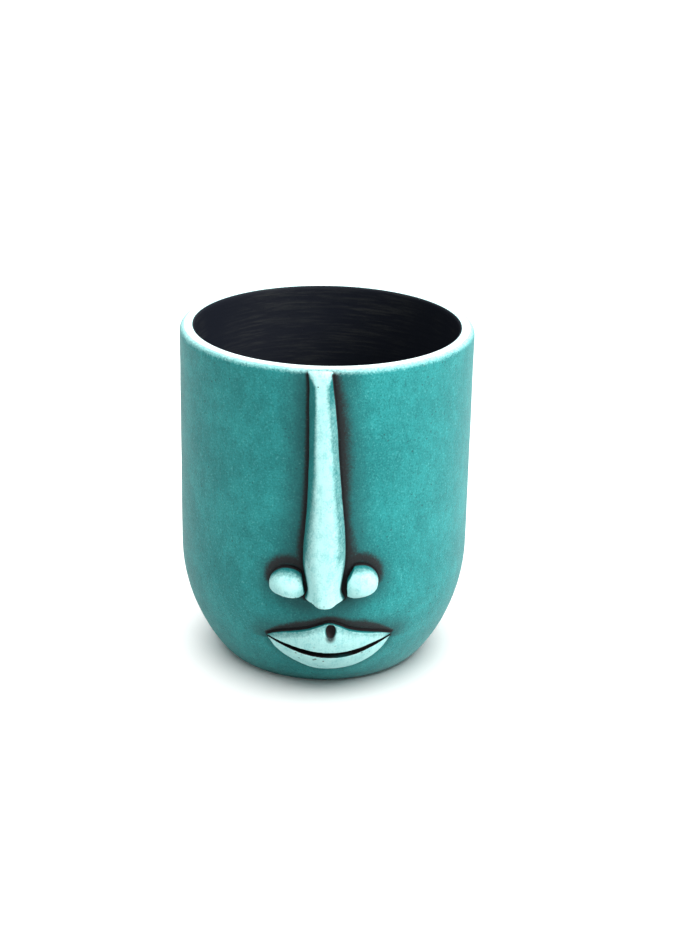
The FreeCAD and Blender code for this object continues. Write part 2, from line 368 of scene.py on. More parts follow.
# ---------------------------------------------------------------- nose and nostrils

# One half of the nose's section, from its back in the wall round to its crest:
# (share of the half width, share of the stand-off).
NOSE_HALF = [(0.55, -0.45), (1.0, -0.3), (1.0, 0.0), (0.88, 0.36), (0.6, 0.84), (0.36, 0.97)]

# Down the nose in millimetres: height, sideways middle, width, how far the crest stands off.
NOSE_STATIONS = [
    (99.7, -1.3, 6.6, 0.3), (99.3, -1.3, 6.8, 0.8), (98.6, -1.3, 6.8, 1.5),
    (97.0, -1.1, 6.8, 2.0), (94, -0.9, 6.9, 2.2), (88, -0.5, 7.7, 2.6), (80, -0.2, 8.1, 3.1),
    (71, 0.1, 8.8, 3.6), (63, 0.35, 9.7, 4.1), (56, 0.5, 10.9, 4.7), (50, 0.5, 11.9, 5.2),
    (45, 0.4, 12.2, 5.6), (41, 0.4, 11.3, 5.9), (38, 0.5, 10.2, 6.1), (35.2, 0.6, 9.6, 6.4),
    (33.4, 0.7, 9.6, 6.6), (32.3, 0.8, 10.2, 6.7),
]

# Each nostril in millimetres: name, sideways middle, height, three radii, and the planes that cut
# it flat, as (sideways place, height, degrees from level).
LEFT_NOSTRIL = ("nostril_ball_left", -9.35, 36.9, (5.5, 5.2, 4.9),
                [(-8.7, 34.1, -104), (-4.8, 34.0, 9)])
RIGHT_NOSTRIL = ("nostril_ball_right", 10.25, 37.6, (5.5, 5.2, 5.3),
                 [(11.1, 34.5, -76), (7.0, 36.0, 180), (7.1, 39.0, 154)])


def make_nose():
    """A long roll of clay, pulled down from the rim and cut off level above the mouth."""
    outline = NOSE_HALF + [(0.0, 1.0)] + [(-x, y) for x, y in reversed(NOSE_HALF)]
    height, middle, width, proud = (value * MM for value in NOSE_STATIONS[0])
    select_nothing()
    bpy.ops.mesh.primitive_circle_add(vertices=len(outline), radius=1, location=(0, 0, 0))
    nose = settle("nose_roll")
    for vertex, (x, y) in zip(nose.data.vertices, outline):
        vertex.co = (middle + x * width / 2, -wall_radius(height) - y * proud, height)
    bpy.ops.object.mode_set(mode="EDIT")
    bpy.ops.mesh.select_all(action="SELECT")
    for above, below in zip(NOSE_STATIONS, NOSE_STATIONS[1:]):
        here = Vector((above[1] * MM, -wall_radius(above[0] * MM), above[0] * MM))
        there = Vector((below[1] * MM, -wall_radius(below[0] * MM), below[0] * MM))
        bpy.ops.mesh.extrude_region_move(TRANSFORM_OT_translate={"value": there - here})
        growth = (below[2] / above[2], below[3] / above[3], 1)
        bpy.ops.transform.resize(value=growth, center_override=there)
    bpy.ops.mesh.inset(thickness=0.25 * MM)
    bpy.ops.mesh.select_all(action="SELECT")
    bpy.ops.mesh.fill_holes(sides=0)
    bpy.ops.object.mode_set(mode="OBJECT")
    faces_out(nose)
    subdivided(nose, 3)
    pinch_tip(nose)
    return uneven(nose, 7 * MM, 0.25 * MM)


def pinch_tip(nose):
    """Pinch the tip in towards its crest, pull its middle down, and spread its foot on the wall."""
    lowest, middle, width = (value * MM for value in NOSE_STATIONS[-1][:3])
    for vertex in nose.data.vertices:
        proud = max(0.0, proudness(vertex.co)) / MM
        tip = ease(vertex.co.z, 36 * MM, lowest)
        narrowed = 0.08 * ease(vertex.co.z, 42 * MM, lowest) * ease(proud, 1.5, 6.5)
        spread = 0.18 * tip * ease(proud, 5.0, 0.5)
        across = abs(vertex.co.x - middle) / (width / 2)
        vertex.co.z -= 0.5 * MM * tip * ease(across, 0.85, 0.1) * ease(proud, 2.5, 6.0)
        vertex.co.x = middle + (vertex.co.x - middle) * (1 - narrowed + spread)


def make_nostril(name, x, height, radii, cuts):
    """A ball of clay on the wall, sliced flat by planes."""
    x, height = x * MM, height * MM
    centre = Vector((x, -math.sqrt(wall_radius(height) ** 2 - x ** 2), height))
    nostril = ball(name, Vector(radii) * MM, centre, turn=math.asin(x / RADIUS))
    for cut_x, cut_height, angle in cuts:
        away = math.radians(angle)
        direction = Vector((math.cos(away), 0, math.sin(away)))
        sliced(nostril, Vector((cut_x * MM, centre.y, cut_height * MM)), direction)
    inward = -wall_normal(centre)
    sliced(nostril, centre + inward * 1.5 * BED_DEPTH, inward)
    softened(nostril, NOSTRIL_GRAIN, 5)
    return uneven(nostril, 4 * MM, 0.3 * MM)


# ---------------------------------------------------------------- lips

# Outlines seen from the front: (x, z) in millimetres.
UPPER_LIP_TOP = [(-15.7, 18.9), (-13.4, 20.2), (-8.4, 21.6), (-3.8, 22.8), (-0.4, 24.2),
                 (2.1, 25.0), (4.6, 24.3), (7.8, 22.7), (13.4, 21.1), (17.6, 20.0), (20.0, 18.9)]
UPPER_LIP_LINE = [(19.6, 18.6), (14.3, 17.2), (7.4, 15.4), (2.2, 15.0), (-3.0, 15.6),
                  (-9.9, 17.2), (-15.3, 18.7)]
LOWER_LIP_LINE = [(-15.2, 18.3), (-9.9, 16.1), (-3.0, 13.8), (2.2, 13.1), (7.4, 13.4),
                  (14.4, 15.9), (19.5, 18.2)]
LOWER_LIP_BOTTOM = [(19.6, 17.8), (17.0, 14.0), (11.9, 10.0), (6.1, 7.9), (2.2, 7.5),
                    (-2.1, 8.0), (-6.8, 10.4), (-12.7, 14.6), (-15.2, 17.9)]

MOUTH_RADII = Vector((27.4, 25.0, 23.5)) * MM    # of the rounded form that both lips share
DIMPLE = Vector((2.6, -43.2, 22.55)) * MM
DIMPLE_RADII = Vector((1.6, 1.7, 2.3)) * MM
DIMPLE_PITCH = math.radians(-12)


def make_bed():
    """The form of the wall's outside, less the depth that the lips are pressed in."""
    heights = [step * BED_STEP for step in range(BED_STEPS)]
    rings = [(wall_radius(height, BED_DEPTH), height) for height in heights]
    return thrown("bed_form", rings, "closed")


def make_lip(name, runs, dimple=None):
    """A lip cut to its outline from one rounded form that both lips share."""
    turn = math.asin(MOUTH_MIDDLE / wall_radius(MOUTH_HEIGHT))
    skin = Vector((math.sin(turn), -math.cos(turn), 0)) * wall_radius(MOUTH_HEIGHT)
    skin.z = MOUTH_HEIGHT
    centre = skin + wall_normal(skin) * (LIP_PROUD - MOUTH_RADII.y)
    form = ball("mouth_form", MOUTH_RADII, centre, wall_slope(MOUTH_HEIGHT), turn)
    bed = make_bed()
    lip = drawn(name, runs, RADIUS * 1.2)
    sliced(lip, Vector((0, -20 * MM, 0)), Vector((0, 1, 0)))    # the front alone is kept
    cut_with(lip, form, "INTERSECT")
    cut_with(lip, bed, "DIFFERENCE")
    if dimple:
        cut_with(lip, dimple, "DIFFERENCE")
        discard(dimple)
    discard(form)
    discard(bed)
    softened(lip, LIP_GRAIN, 7)
    return uneven(lip, 5 * MM, 0.2 * MM)


def make_upper_lip():
    """The upper lip, with a thumbed dimple below its peak."""
    dimple = ball("dimple_tool", DIMPLE_RADII, DIMPLE, pitch=DIMPLE_PITCH)
    return make_lip("lip_above", [UPPER_LIP_TOP, UPPER_LIP_LINE], dimple)


def make_lower_lip():
    """The lower lip, a crescent below the open line of the mouth."""
    return make_lip("lip_below", [LOWER_LIP_LINE, LOWER_LIP_BOTTOM])


# ---------------------------------------------------------------- painted-on attributes

def painted(piece, name, values):
    """Lay one value on each point of a piece, for its material to read."""
    layer = piece.data.attributes.new(name, "FLOAT", "POINT")
    layer.data.foreach_set("value", np.array(values, np.float32))


def skin_of(piece):
    return BVHTree.FromObject(piece, bpy.context.evaluated_depsgraph_get())


def gap(skin, point):
    """Distance from a point to a piece's skin, in millimetres."""
    return skin.find_nearest(point)[3] / MM


# How wide the dark spray is, in millimetres: up each side of the nose as (heights, widths),
# and along the upper lip as (distances to the right, widths).
HAZE_LEFT = ((30, 34, 40, 55, 90), (0.7, 1.1, 1.9, 1.4, 0.8))
HAZE_RIGHT = ((30, 34, 40, 46, 50, 56, 62, 72, 84, 92, 98),
              (0.7, 1.1, 2.4, 3.2, 2.7, 1.7, 1.9, 3.0, 3.2, 2.6, 1.8))
HAZE_ABOVE_LIP = ((-16, -12, -7, -3, 2, 7, 12, 16, 20),
                  (0.3, 1.2, 1.7, 1.5, 1.1, 1.6, 2.3, 1.7, 0.4))
HAZE_ABOVE_NOSTRIL = 1.7
HAZE_LIFT = Vector((0, 0, 1.9 * MM))    # the spray over a nostril lies this much above it
FAR = 12.0                              # beyond all spray and deepened stain
FACE_REACH = 32 * MM                    # the face lies within this of the middle

# How far the stain is deepened round each piece, in millimetres, and how much at the piece.
DUSK_NOSE, DUSK_NOSTRIL = (11.0, 0.8), (7.0, 0.7)
DUSK_UPPER_LIP, DUSK_LOWER_LIP = (8.0, 0.7), (3.5, 0.4)


def light_left(distance, reach, depth):
    """Share of the light stain that is left at a distance from a piece."""
    return 1 - depth * ease(distance, reach, 0.5)


def paint_wall(wall, nose, nostrils, upper_lip, lower_lip):
    """Where the wall is darkened: "haze" is 0 at the pieces and 1 where the dark spray is half
    faded, "dusk" is how deep the stain is, and "seam" is the distance to the nearest piece."""
    nose_skin = skin_of(nose)
    nostril_skins = [skin_of(piece) for piece in nostrils]
    upper_skin = skin_of(upper_lip)
    lower_skin = skin_of(lower_lip)
    haze, dusk, seam = [], [], []
    for vertex in wall.data.vertices:
        point = vertex.co
        if point.y > 0 or abs(point.x) > FACE_REACH or proudness(point) < -WALL / 2:
            haze.append(FAR)
            dusk.append(0.0)
            seam.append(FAR)
            continue
        nose_gap, nostril_gap = gap(nose_skin, point), min(gap(s, point) for s in nostril_skins)
        upper_gap, lower_gap = gap(upper_skin, point), gap(lower_skin, point)
        beside = nose_gap / np.interp(point.z / MM, *(HAZE_RIGHT if point.x > 0 else HAZE_LEFT))
        above_nostril = min(gap(s, point - HAZE_LIFT) for s in nostril_skins) / HAZE_ABOVE_NOSTRIL
        width = np.interp(point.x / MM, *HAZE_ABOVE_LIP)
        lift = Vector((0, 0, 0.8 * width * MM))
        above_lip = gap(upper_skin, point - lift) / (0.35 + 0.6 * width)
        haze.append(min(beside, above_nostril, above_lip, FAR))
        light = light_left(nose_gap, *DUSK_NOSE) * light_left(nostril_gap, *DUSK_NOSTRIL)
        light *= (light_left(upper_gap if point.z > MOUTH_HEIGHT else FAR, *DUSK_UPPER_LIP)
                  * light_left(lower_gap, *DUSK_LOWER_LIP))
        dusk.append(1 - light)
        seam.append(min(nose_gap, nostril_gap, upper_gap, lower_gap, FAR))
    painted(wall, "haze", haze)
    painted(wall, "dusk", dusk)
    painted(wall, "seam", seam)


def press_seams(wall):
    """Press a shallow groove into the wall around the applied pieces."""
    seam = wall.data.attributes["seam"].data
    for vertex, near in zip(wall.data.vertices, seam):
        depth = SEAM_DEPTH * ease(near.value * MM, SEAM_REACH, 0.0)
        vertex.co -= wall_normal(vertex.co) * depth


NOSTRIL_DROOP = 0.32


def paint_face_piece(piece, droop=0.1):
    """Where the pale rub catches a piece, "rub", where the dark spray stays, "shade", and where
    the rub is chipped, "wear". The more droop, the more stain shows on what faces up."""
    rub, shade, wear = [], [], []
    for vertex in piece.data.vertices:
        point, outward = vertex.co, wall_normal(vertex.co)
        proud = proudness(point) / MM
        aim = (outward - Vector((0, 0, droop))).normalized()
        rub.append(ease(vertex.normal.dot(aim), -0.2, 0.85) * ease(proud, 0.2, 1.1))
        shade.append(ease(proud, 0.75 + 0.8 * ease(vertex.normal.z, 0.1, 0.7), 0.15))
        wear.append(ease(vertex.normal.z, -0.1, -0.6) * ease(proud, 1.0, 2.0))
    painted(piece, "rub", rub)
    painted(piece, "shade", shade)
    painted(piece, "wear", wear)


def paint_nose(nose):
    """The nose is rubbed along its crest, at its tip and where it meets the rim."""
    heights, middles, widths, _ = zip(*reversed(NOSE_STATIONS))
    rub, shade, wear = [], [], []
    for vertex in nose.data.vertices:
        x, z = vertex.co.x / MM, vertex.co.z / MM
        proud = proudness(vertex.co) / MM
        half_width = np.interp(z, heights, widths) / 2
        across = (x - np.interp(z, heights, middles)) / half_width
        lean = 0.12 * ease(z, 75, 95)       # the rubbed band leans left towards the rim,
        low = 0.3 * ease(z, 74, 52)         # is wider low down,
        flare = 0.5 * ease(z, 95, 99.6)     # and spreads over the whole width at the rim
        if across > 0:
            crest = ease(across, 1.0 + low / 2 - lean + flare, 0.14 - lean + flare)
            thin_rub = 0.35 * ease(across, 1.3, 0.9) * ease(z, 99, 88)
            crest = max(crest, thin_rub)
        else:
            crest = ease(across, lean - 0.78 - low - flare, lean - 0.34 - flare)
        tip = ease(z, 54, 37) * ease(proud, 0.6, 2.8)
        top = ease(z, 98.4, 99.6)
        rub.append(max(crest, tip, top))
        shade.append(ease(proud, 0.9, 0.15) * (1 - top))
        wear.append(0.6 * ease(z, 35, 33))
    painted(nose, "rub", rub)
    painted(nose, "shade", shade)
    painted(nose, "wear", wear)


def paint_top_edge(lip, outline):
    """Thin the pale rub out towards the top edge of a lip, most of all on its left."""
    across, tops = zip(*outline)
    rub = lip.data.attributes["rub"].data
    for vertex, pale in zip(lip.data.vertices, rub):
        below = np.interp(vertex.co.x / MM, across, tops) - vertex.co.z / MM
        side = 0.42 + 0.2 * ease(vertex.co.x, 6 * MM, -8 * MM)
        pale.value *= 1 - side * ease(below, 3.4, 0.3)


def paint_groove(lip, other):
    """Dark spray on the edge of a lip that faces the other lip."""
    other_skin = skin_of(other)
    shade = lip.data.attributes["shade"].data
    for vertex, dark in zip(lip.data.vertices, shade):
        edge = ease(vertex.normal.dot(wall_normal(vertex.co)), 0.8, 0.5)
        inside = edge * ease(gap(other_skin, vertex.co), 2.4, 1.7)
        dark.value = max(dark.value, inside)


def paint_dimple(lip):
    """Dark spray in the dimple, and the smudge that runs down from it."""
    shade = lip.data.attributes["shade"].data
    half_width, half_height = 1.5 * MM, 2.3 * MM
    for vertex, dark in zip(lip.data.vertices, shade):
        across = (vertex.co.x - DIMPLE.x) / half_width
        along = (vertex.co.z - DIMPLE.z) / half_height
        pit = ease(math.hypot(across, along), 1.1, 0.8)
        smudge = 0.72 * ease(math.hypot(across * 0.6, (along + 0.8) / 1.4), 1.0, 0.2)
        dark.value = max(dark.value, pit, smudge)


# ---------------------------------------------------------------- shader building blocks

def feed(tree, socket, value):
    """Link a socket to another socket, or set it to a value."""
    if isinstance(value, bpy.types.NodeSocket):
        tree.links.new(value, socket)
    else:
        socket.default_value = value


def add(tree, kind, feeds=(), named=None, **settings):
    """Add a shader node. feeds fill its sockets in order, and named ones by name or number."""
    made = tree.nodes.new("ShaderNode" + kind)
    for key, value in settings.items():
        setattr(made, key, value)
    for key, value in list(enumerate(feeds)) + list((named or {}).items()):
        feed(tree, made.inputs[key], value)
    return made


def sums(tree, operation, *feeds):
    return add(tree, "Math", feeds, operation=operation).outputs[0]


def stepped(tree, value, low, high):
    """0 where a value is at low and 1 where it is at high, with a soft step between."""
    feeds = (value, low, high, 0.0, 1.0)
    return add(tree, "MapRange", feeds, interpolation_type="SMOOTHSTEP").outputs[0]


MIX_FACTOR, MIX_A, MIX_B, MIX_RESULT = 0, 6, 7, 2    # a mix node's colour sockets


def mixed(tree, share, first, second):
    named = {MIX_FACTOR: share, MIX_A: first, MIX_B: second}
    return add(tree, "Mix", named=named, data_type="RGBA").outputs[MIX_RESULT]


def noise(tree, place, size, detail=3.0, roughness=0.6):
    named = {"Vector": place, "Scale": 1 / size, "Detail": detail, "Roughness": roughness}
    return add(tree, "TexNoise", named=named).outputs["Fac"]


def object_place(tree):
    return add(tree, "TexCoord").outputs["Object"]


def stretched(tree, place, scale):
    return add(tree, "Mapping", named={"Vector": place, "Scale": scale}).outputs[0]


def own(tree, attribute):
    """What was painted on the piece itself."""
    return add(tree, "Attribute", attribute_name=attribute).outputs["Fac"]


def start_group(name, inputs, outputs):
    """Start a node group, from (name, kind, value) inputs and (name, kind) outputs."""
    tree = bpy.data.node_groups.new(name, "ShaderNodeTree")
    kinds = {"value": "NodeSocketFloat", "colour": "NodeSocketColor"}
    for label, kind, default in inputs:
        socket = tree.interface.new_socket(name=label, in_out="INPUT", socket_type=kinds[kind])
        socket.default_value = default
    for label, kind in outputs:
        tree.interface.new_socket(name=label, in_out="OUTPUT", socket_type=kinds[kind])
    return tree, tree.nodes.new("NodeGroupInput").outputs, tree.nodes.new("NodeGroupOutput").inputs


def use(tree, group, **values):
    """Place a group in a material with its own values, and return its outputs."""
    made = tree.nodes.new("ShaderNodeGroup")
    made.node_tree = group
    for label, value in values.items():
        feed(tree, made.inputs[label.replace("_", " ")], value)
    return made.outputs


def teal_stain_group():
    """Teal stain wiped over clay: broad blotches, a fine grain and a faint downward wipe."""
    tree, given, out = start_group(
        "teal_stain", [("Grain", "value", 1.0)], [("Colour", "colour")])
    place = object_place(tree)
    deep, middle = (0.003, 0.100, 0.105, 1), (0.007, 0.195, 0.194, 1)
    light, pale = (0.016, 0.275, 0.270, 1), (0.10, 0.47, 0.45, 1)
    blotch = noise(tree, place, 15 * MM, 5.0, 0.62)
    wipe = noise(tree, stretched(tree, place, (1.0, 1.0, 0.55)), 2.6 * MM, 4.0, 0.65)
    tone = sums(tree, "ADD", sums(tree, "MULTIPLY", blotch, 0.6), sums(tree, "MULTIPLY", wipe, 0.4))
    colour = mixed(tree, stepped(tree, tone, 0.38, 0.64), middle, light)
    grain = noise(tree, place, 0.55 * MM, 3.0, 0.75)
    dark_grain = sums(tree, "MULTIPLY", stepped(tree, grain, 0.51, 0.32), given["Grain"])
    colour = mixed(tree, sums(tree, "MULTIPLY", dark_grain, 0.6), colour, deep)
    pale_grain = sums(tree, "MULTIPLY", stepped(tree, grain, 0.53, 0.72), given["Grain"])
    colour = mixed(tree, sums(tree, "MULTIPLY", pale_grain, 0.4), colour, pale)
    tree.links.new(colour, out["Colour"])
    return tree


def dry_rub_group():
    """Pale paint rubbed on with a nearly dry brush: cloudy, with grains of the stain left bare."""
    tree, given, out = start_group(
        "dry_rub", [("Streak", "value", 0.5)], [("Colour", "colour")])
    place = object_place(tree)
    cloudy = noise(tree, place, 2.6 * MM, 4.0, 0.65)
    streaks = noise(tree, stretched(tree, place, (1.0, 1.0, 0.16)), 0.8 * MM, 3.0, 0.7)
    grains = noise(tree, place, 0.5 * MM, 3.0, 0.75)
    tone = sums(tree, "ADD", sums(tree, "MULTIPLY", cloudy, 0.5),
                sums(tree, "MULTIPLY", grains, 0.5))
    streaked = sums(tree, "MULTIPLY", sums(tree, "SUBTRACT", streaks, 0.5), given["Streak"])
    tone = sums(tree, "ADD", tone, streaked)
    thin, thick = (0.27, 0.62, 0.61, 1), (0.43, 0.765, 0.74, 1)
    tree.links.new(mixed(tree, stepped(tree, tone, 0.34, 0.58), thin, thick), out["Colour"])
    return tree


def grainy_edge_group():
    """Mask whose edge breaks up into grains, as dry paint on rough clay does."""
    tree, given, out = start_group(
        "grainy_edge",
        [("Cover", "value", 0.5), ("Grain Size", "value", 0.5 * MM), ("Raggedness", "value", 0.4),
         ("Softness", "value", 0.2)],
        [("Mask", "value")])
    place = object_place(tree)
    scale = sums(tree, "DIVIDE", 1.0, given["Grain Size"])
    named = {"Vector": place, "Scale": scale, "Detail": 3.0, "Roughness": 0.7}
    fine = add(tree, "TexNoise", named=named).outputs["Fac"]
    coarse = noise(tree, place, 5 * MM, 2.0)
    grains = sums(tree, "ADD", sums(tree, "MULTIPLY", fine, 0.75),
                  sums(tree, "MULTIPLY", coarse, 0.25))
    shift = sums(tree, "MULTIPLY", sums(tree, "SUBTRACT", grains, 0.5), given["Raggedness"])
    level = sums(tree, "ADD", given["Cover"], sums(tree, "MULTIPLY", shift, 2.0))
    low = sums(tree, "SUBTRACT", 0.5, given["Softness"])
    high = sums(tree, "ADD", 0.5, given["Softness"])
    tree.links.new(stepped(tree, level, low, high), out["Mask"])
    return tree


def specks_group():
    """Scattered specks of spattered paint or grog in the clay."""
    tree, given, out = start_group(
        "specks", [("Spacing", "value", 3 * MM), ("Size", "value", 0.12), ("Seed", "value", 0.0)],
        [("Mask", "value")])
    place = object_place(tree)
    offset = add(tree, "CombineXYZ", (given["Seed"], given["Seed"], 0.0)).outputs[0]
    moved = add(tree, "VectorMath", (place, offset), operation="ADD").outputs[0]
    scale = sums(tree, "DIVIDE", 1.0, given["Spacing"])
    cells = add(tree, "TexVoronoi", named={"Vector": moved, "Scale": scale})
    few = stepped(tree, noise(tree, moved, 9 * MM, 2.0), 0.42, 0.62)
    wide = sums(tree, "MULTIPLY", given["Size"], few)
    inner = sums(tree, "MULTIPLY", wide, 0.55)
    tree.links.new(stepped(tree, cells.outputs["Distance"], wide, inner), out["Mask"])
    return tree


def clay_tooth_group():
    """Height of fired clay's surface: fine tooth, small pits and the drag of fingers."""
    tree, given, out = start_group(
        "clay_tooth", [("Tooth", "value", 1.0), ("Drag", "value", 0.3)], [("Height", "value")])
    place = object_place(tree)
    tooth = noise(tree, place, 0.5 * MM, 4.0, 0.7)
    named = {"Vector": place, "Scale": 1 / (1.4 * MM)}
    pit = stepped(tree, add(tree, "TexVoronoi", named=named).outputs["Distance"], 0.22, 0.0)
    drag = noise(tree, stretched(tree, place, (0.25, 0.25, 1.0)), 2.2 * MM, 3.0)
    height = sums(tree, "MULTIPLY", tooth, given["Tooth"])
    height = sums(tree, "SUBTRACT", height, sums(tree, "MULTIPLY", pit, 0.5))
    height = sums(tree, "ADD", height, sums(tree, "MULTIPLY", drag, given["Drag"]))
    tree.links.new(height, out["Height"])
    return tree


def start_material(name, roughness, specular, sheen=0.0):
    """Start a material, and return it with its node tree and its shader's sockets."""
    material = bpy.data.materials.new(name)
    material.use_nodes = True
    tree = material.node_tree
    shader = tree.nodes["Principled BSDF"]
    shader.inputs["Roughness"].default_value = roughness
    shader.inputs["Specular IOR Level"].default_value = specular
    shader.inputs["Sheen Weight"].default_value = sheen
    return material, tree, shader.inputs


def raised(tree, surface, height, depth):
    """Raise a surface by a height map, as a bump of some depth."""
    bump = add(tree, "Bump", named={"Height": height, "Distance": depth, "Strength": 1.0})
    tree.links.new(bump.outputs["Normal"], surface["Normal"])


DEEP_TEAL = (0.006, 0.052, 0.055, 1)
SPRAY = (0.014, 0.010, 0.011, 1)
SEAM_BLACK = (0.004, 0.005, 0.006, 1)
CHIPPED = (0.09, 0.15, 0.13, 1)
RIM_PALE = (0.72, 0.84, 0.83, 1)
RING_CLAY = (0.36, 0.23, 0.15, 1)
SLAB_DARK, SLAB_LIGHT, GROG = (0.30, 0.19, 0.12, 1), (0.43, 0.29, 0.20, 1), (0.12, 0.07, 0.05, 1)
GLAZE_THICK, GLAZE_THIN = (0.0070, 0.0090, 0.0145, 1), (0.026, 0.029, 0.030, 1)

SPRAY_COVER = 1.45        # cover of the dark spray at the pieces, where "haze" is 0
RIM_RUB_START = HEIGHT - 1.9 * MM


def stained_clay(stain, rub, edge, specks, tooth):
    """The wall: teal stain, dark spray round the face, a pale rubbed rim and a bare foot."""
    material, tree, surface = start_material("stained_clay", 0.62, 0.17, 0.14)
    colour = use(tree, stain, Grain=1.0)["Colour"]
    haze = own(tree, "haze")
    colour = mixed(tree, sums(tree, "MULTIPLY", own(tree, "dusk"), 0.9), colour, DEEP_TEAL)
    close = sums(tree, "SUBTRACT", SPRAY_COVER, haze)
    sprayed = use(tree, edge, Cover=close, Grain_Size=0.6 * MM, Raggedness=0.8,
                  Softness=0.6)["Mask"]
    colour = mixed(tree, sums(tree, "MULTIPLY", sprayed, 0.92), colour, SPRAY)
    colour = mixed(tree, stepped(tree, own(tree, "seam"), 0.9, 0.25), colour, SEAM_BLACK)
    dark_specks = use(tree, specks, Spacing=2.3 * MM, Size=0.16, Seed=0.0)["Mask"]
    colour = mixed(tree, sums(tree, "MULTIPLY", dark_specks, 0.6), colour, DEEP_TEAL)
    height = add(tree, "SeparateXYZ", (object_place(tree),)).outputs["Z"]
    rim = add(tree, "MapRange", (height, RIM_RUB_START, HEIGHT + 0.1 * MM, 0.0, 0.74)).outputs[0]
    rubbed = use(tree, edge, Cover=rim, Grain_Size=0.55 * MM, Raggedness=0.55,
                 Softness=0.42)["Mask"]
    colour = mixed(tree, rubbed, colour, use(tree, rub, Streak=0.0)["Colour"])
    colour = mixed(tree, stepped(tree, height, HEIGHT - 0.12 * MM, HEIGHT), colour, RIM_PALE)
    level = stretched(tree, object_place(tree), (1.0, 1.0, 0.0))
    radius = add(tree, "VectorMath", (level,), operation="LENGTH").outputs["Value"]
    inward = stepped(tree, radius, FOOT_RADIUS - 1 * MM, FOOT_RADIUS - 2 * MM)
    below = stepped(tree, height, FLOOR_LOW.z + 1 * MM, FLOOR_LOW.z + 0.5 * MM)
    standing_face = stepped(tree, height, 0.12 * MM, 0.04 * MM)
    foot = sums(tree, "MAXIMUM", sums(tree, "MULTIPLY", inward, below), standing_face)
    colour = mixed(tree, foot, colour, RING_CLAY)
    tree.links.new(colour, surface["Base Color"])
    grit = use(tree, tooth, Tooth=1.0, Drag=0.5)["Height"]
    raised(tree, surface, grit, 0.12 * MM)
    return material


def rubbed_clay(stain, rub, edge, specks, tooth):
    """The face pieces: teal below, deepened by painted shade, with a pale dry rub over all that
    stands out.
    """
    material, tree, surface = start_material("rubbed_clay", 0.6, 0.2)
    colour = use(tree, stain, Grain=0.8)["Colour"]
    rubbed = use(tree, edge, Cover=own(tree, "rub"), Grain_Size=0.7 * MM, Raggedness=0.5,
                 Softness=0.45)["Mask"]
    # painted shade: a darker teal under the rub, which shows on the flanks and wherever the rub is
    # thin
    colour = mixed(tree, 0.35, colour, DEEP_TEAL)
    colour = mixed(tree, rubbed, colour, use(tree, rub, Streak=0.25)["Colour"])
    nicks = use(tree, specks, Spacing=3.6 * MM, Size=0.09, Seed=0.013)["Mask"]
    chips = use(tree, specks, Spacing=1.5 * MM, Size=0.30, Seed=0.047)["Mask"]
    chips = sums(tree, "MULTIPLY", chips, own(tree, "wear"))
    colour = mixed(tree, sums(tree, "MAXIMUM", nicks, chips), colour, CHIPPED)
    dark = use(tree, edge, Cover=own(tree, "shade"), Grain_Size=0.5 * MM, Raggedness=0.2,
               Softness=0.35)["Mask"]
    colour = mixed(tree, dark, colour, SPRAY)
    tree.links.new(colour, surface["Base Color"])
    grit = use(tree, tooth, Tooth=0.8, Drag=0.2)["Height"]
    raised(tree, surface, grit, 0.10 * MM)
    return material


def bare_clay(specks, tooth):
    """The unglazed floor slab, seen from below."""
    material, tree, surface = start_material("bare_clay", 0.8, 0.3)
    colour = mixed(tree, noise(tree, object_place(tree), 11 * MM), SLAB_DARK, SLAB_LIGHT)
    grog = use(tree, specks, Spacing=1.6 * MM, Size=0.2, Seed=0.031)["Mask"]
    colour = mixed(tree, sums(tree, "MULTIPLY", grog, 0.6), colour, GROG)
    tree.links.new(colour, surface["Base Color"])
    grit = use(tree, tooth, Tooth=1.0, Drag=0.4)["Height"]
    raised(tree, surface, grit, 0.15 * MM)
    return material


def black_glaze(tooth):
    """The inside: black glaze laid on with a brush that was drawn round the cup."""
    material, tree, surface = start_material("black_glaze", 0.6, 0.12)
    place = object_place(tree)
    round_cup = stretched(tree, place, (0.06, 0.06, 1.0))
    bristles = noise(tree, round_cup, 0.8 * MM, 5.0, 0.75)
    loaded = noise(tree, place, 24 * MM, 2.0)
    thin = sums(tree, "MULTIPLY", stepped(tree, bristles, 0.42, 0.74),
                stepped(tree, loaded, 0.36, 0.62))
    tree.links.new(mixed(tree, thin, GLAZE_THICK, GLAZE_THIN), surface["Base Color"])
    height = use(tree, tooth, Tooth=0.25, Drag=0.0)["Height"]
    strokes = sums(tree, "ADD", height, sums(tree, "MULTIPLY", bristles, 0.8))
    raised(tree, surface, strokes, 0.10 * MM)
    return material


# ---------------------------------------------------------------- stage

CAMERA_PLACE = Vector((0.0032, -0.5072, 0.2571))
CAMERA_DOWN = math.radians(21.57)
CAMERA_ASIDE = math.radians(0.34)
CAMERA_ROLL = math.radians(1.18)
CAMERA_LENS = 95.7
FILM_WIDTH = 36

# Each light: place, width, power in watts and tint.
OVERHEAD = ((0.1, 0.09, 1.1), 2.2, 42.0, (1, 1, 1))
KEY = ((0.52, -0.36, 0.42), 0.4, 5.6, (1.0, 0.985, 1.0))
FILL = ((-0.6, -0.35, 0.3), 0.6, 0.7, (0.97, 0.99, 1.0))
LIT_MIDDLE = Vector((0, 0, 0.05))

CARD_WIDTH = 1.6
CARD_LIT, CARD_SEEN = (0.74, 0.74, 0.74, 1), (1.0, 1.0, 0.99, 1)
STUDIO_GLOW, STUDIO_SEEN = 0.12, 1.3


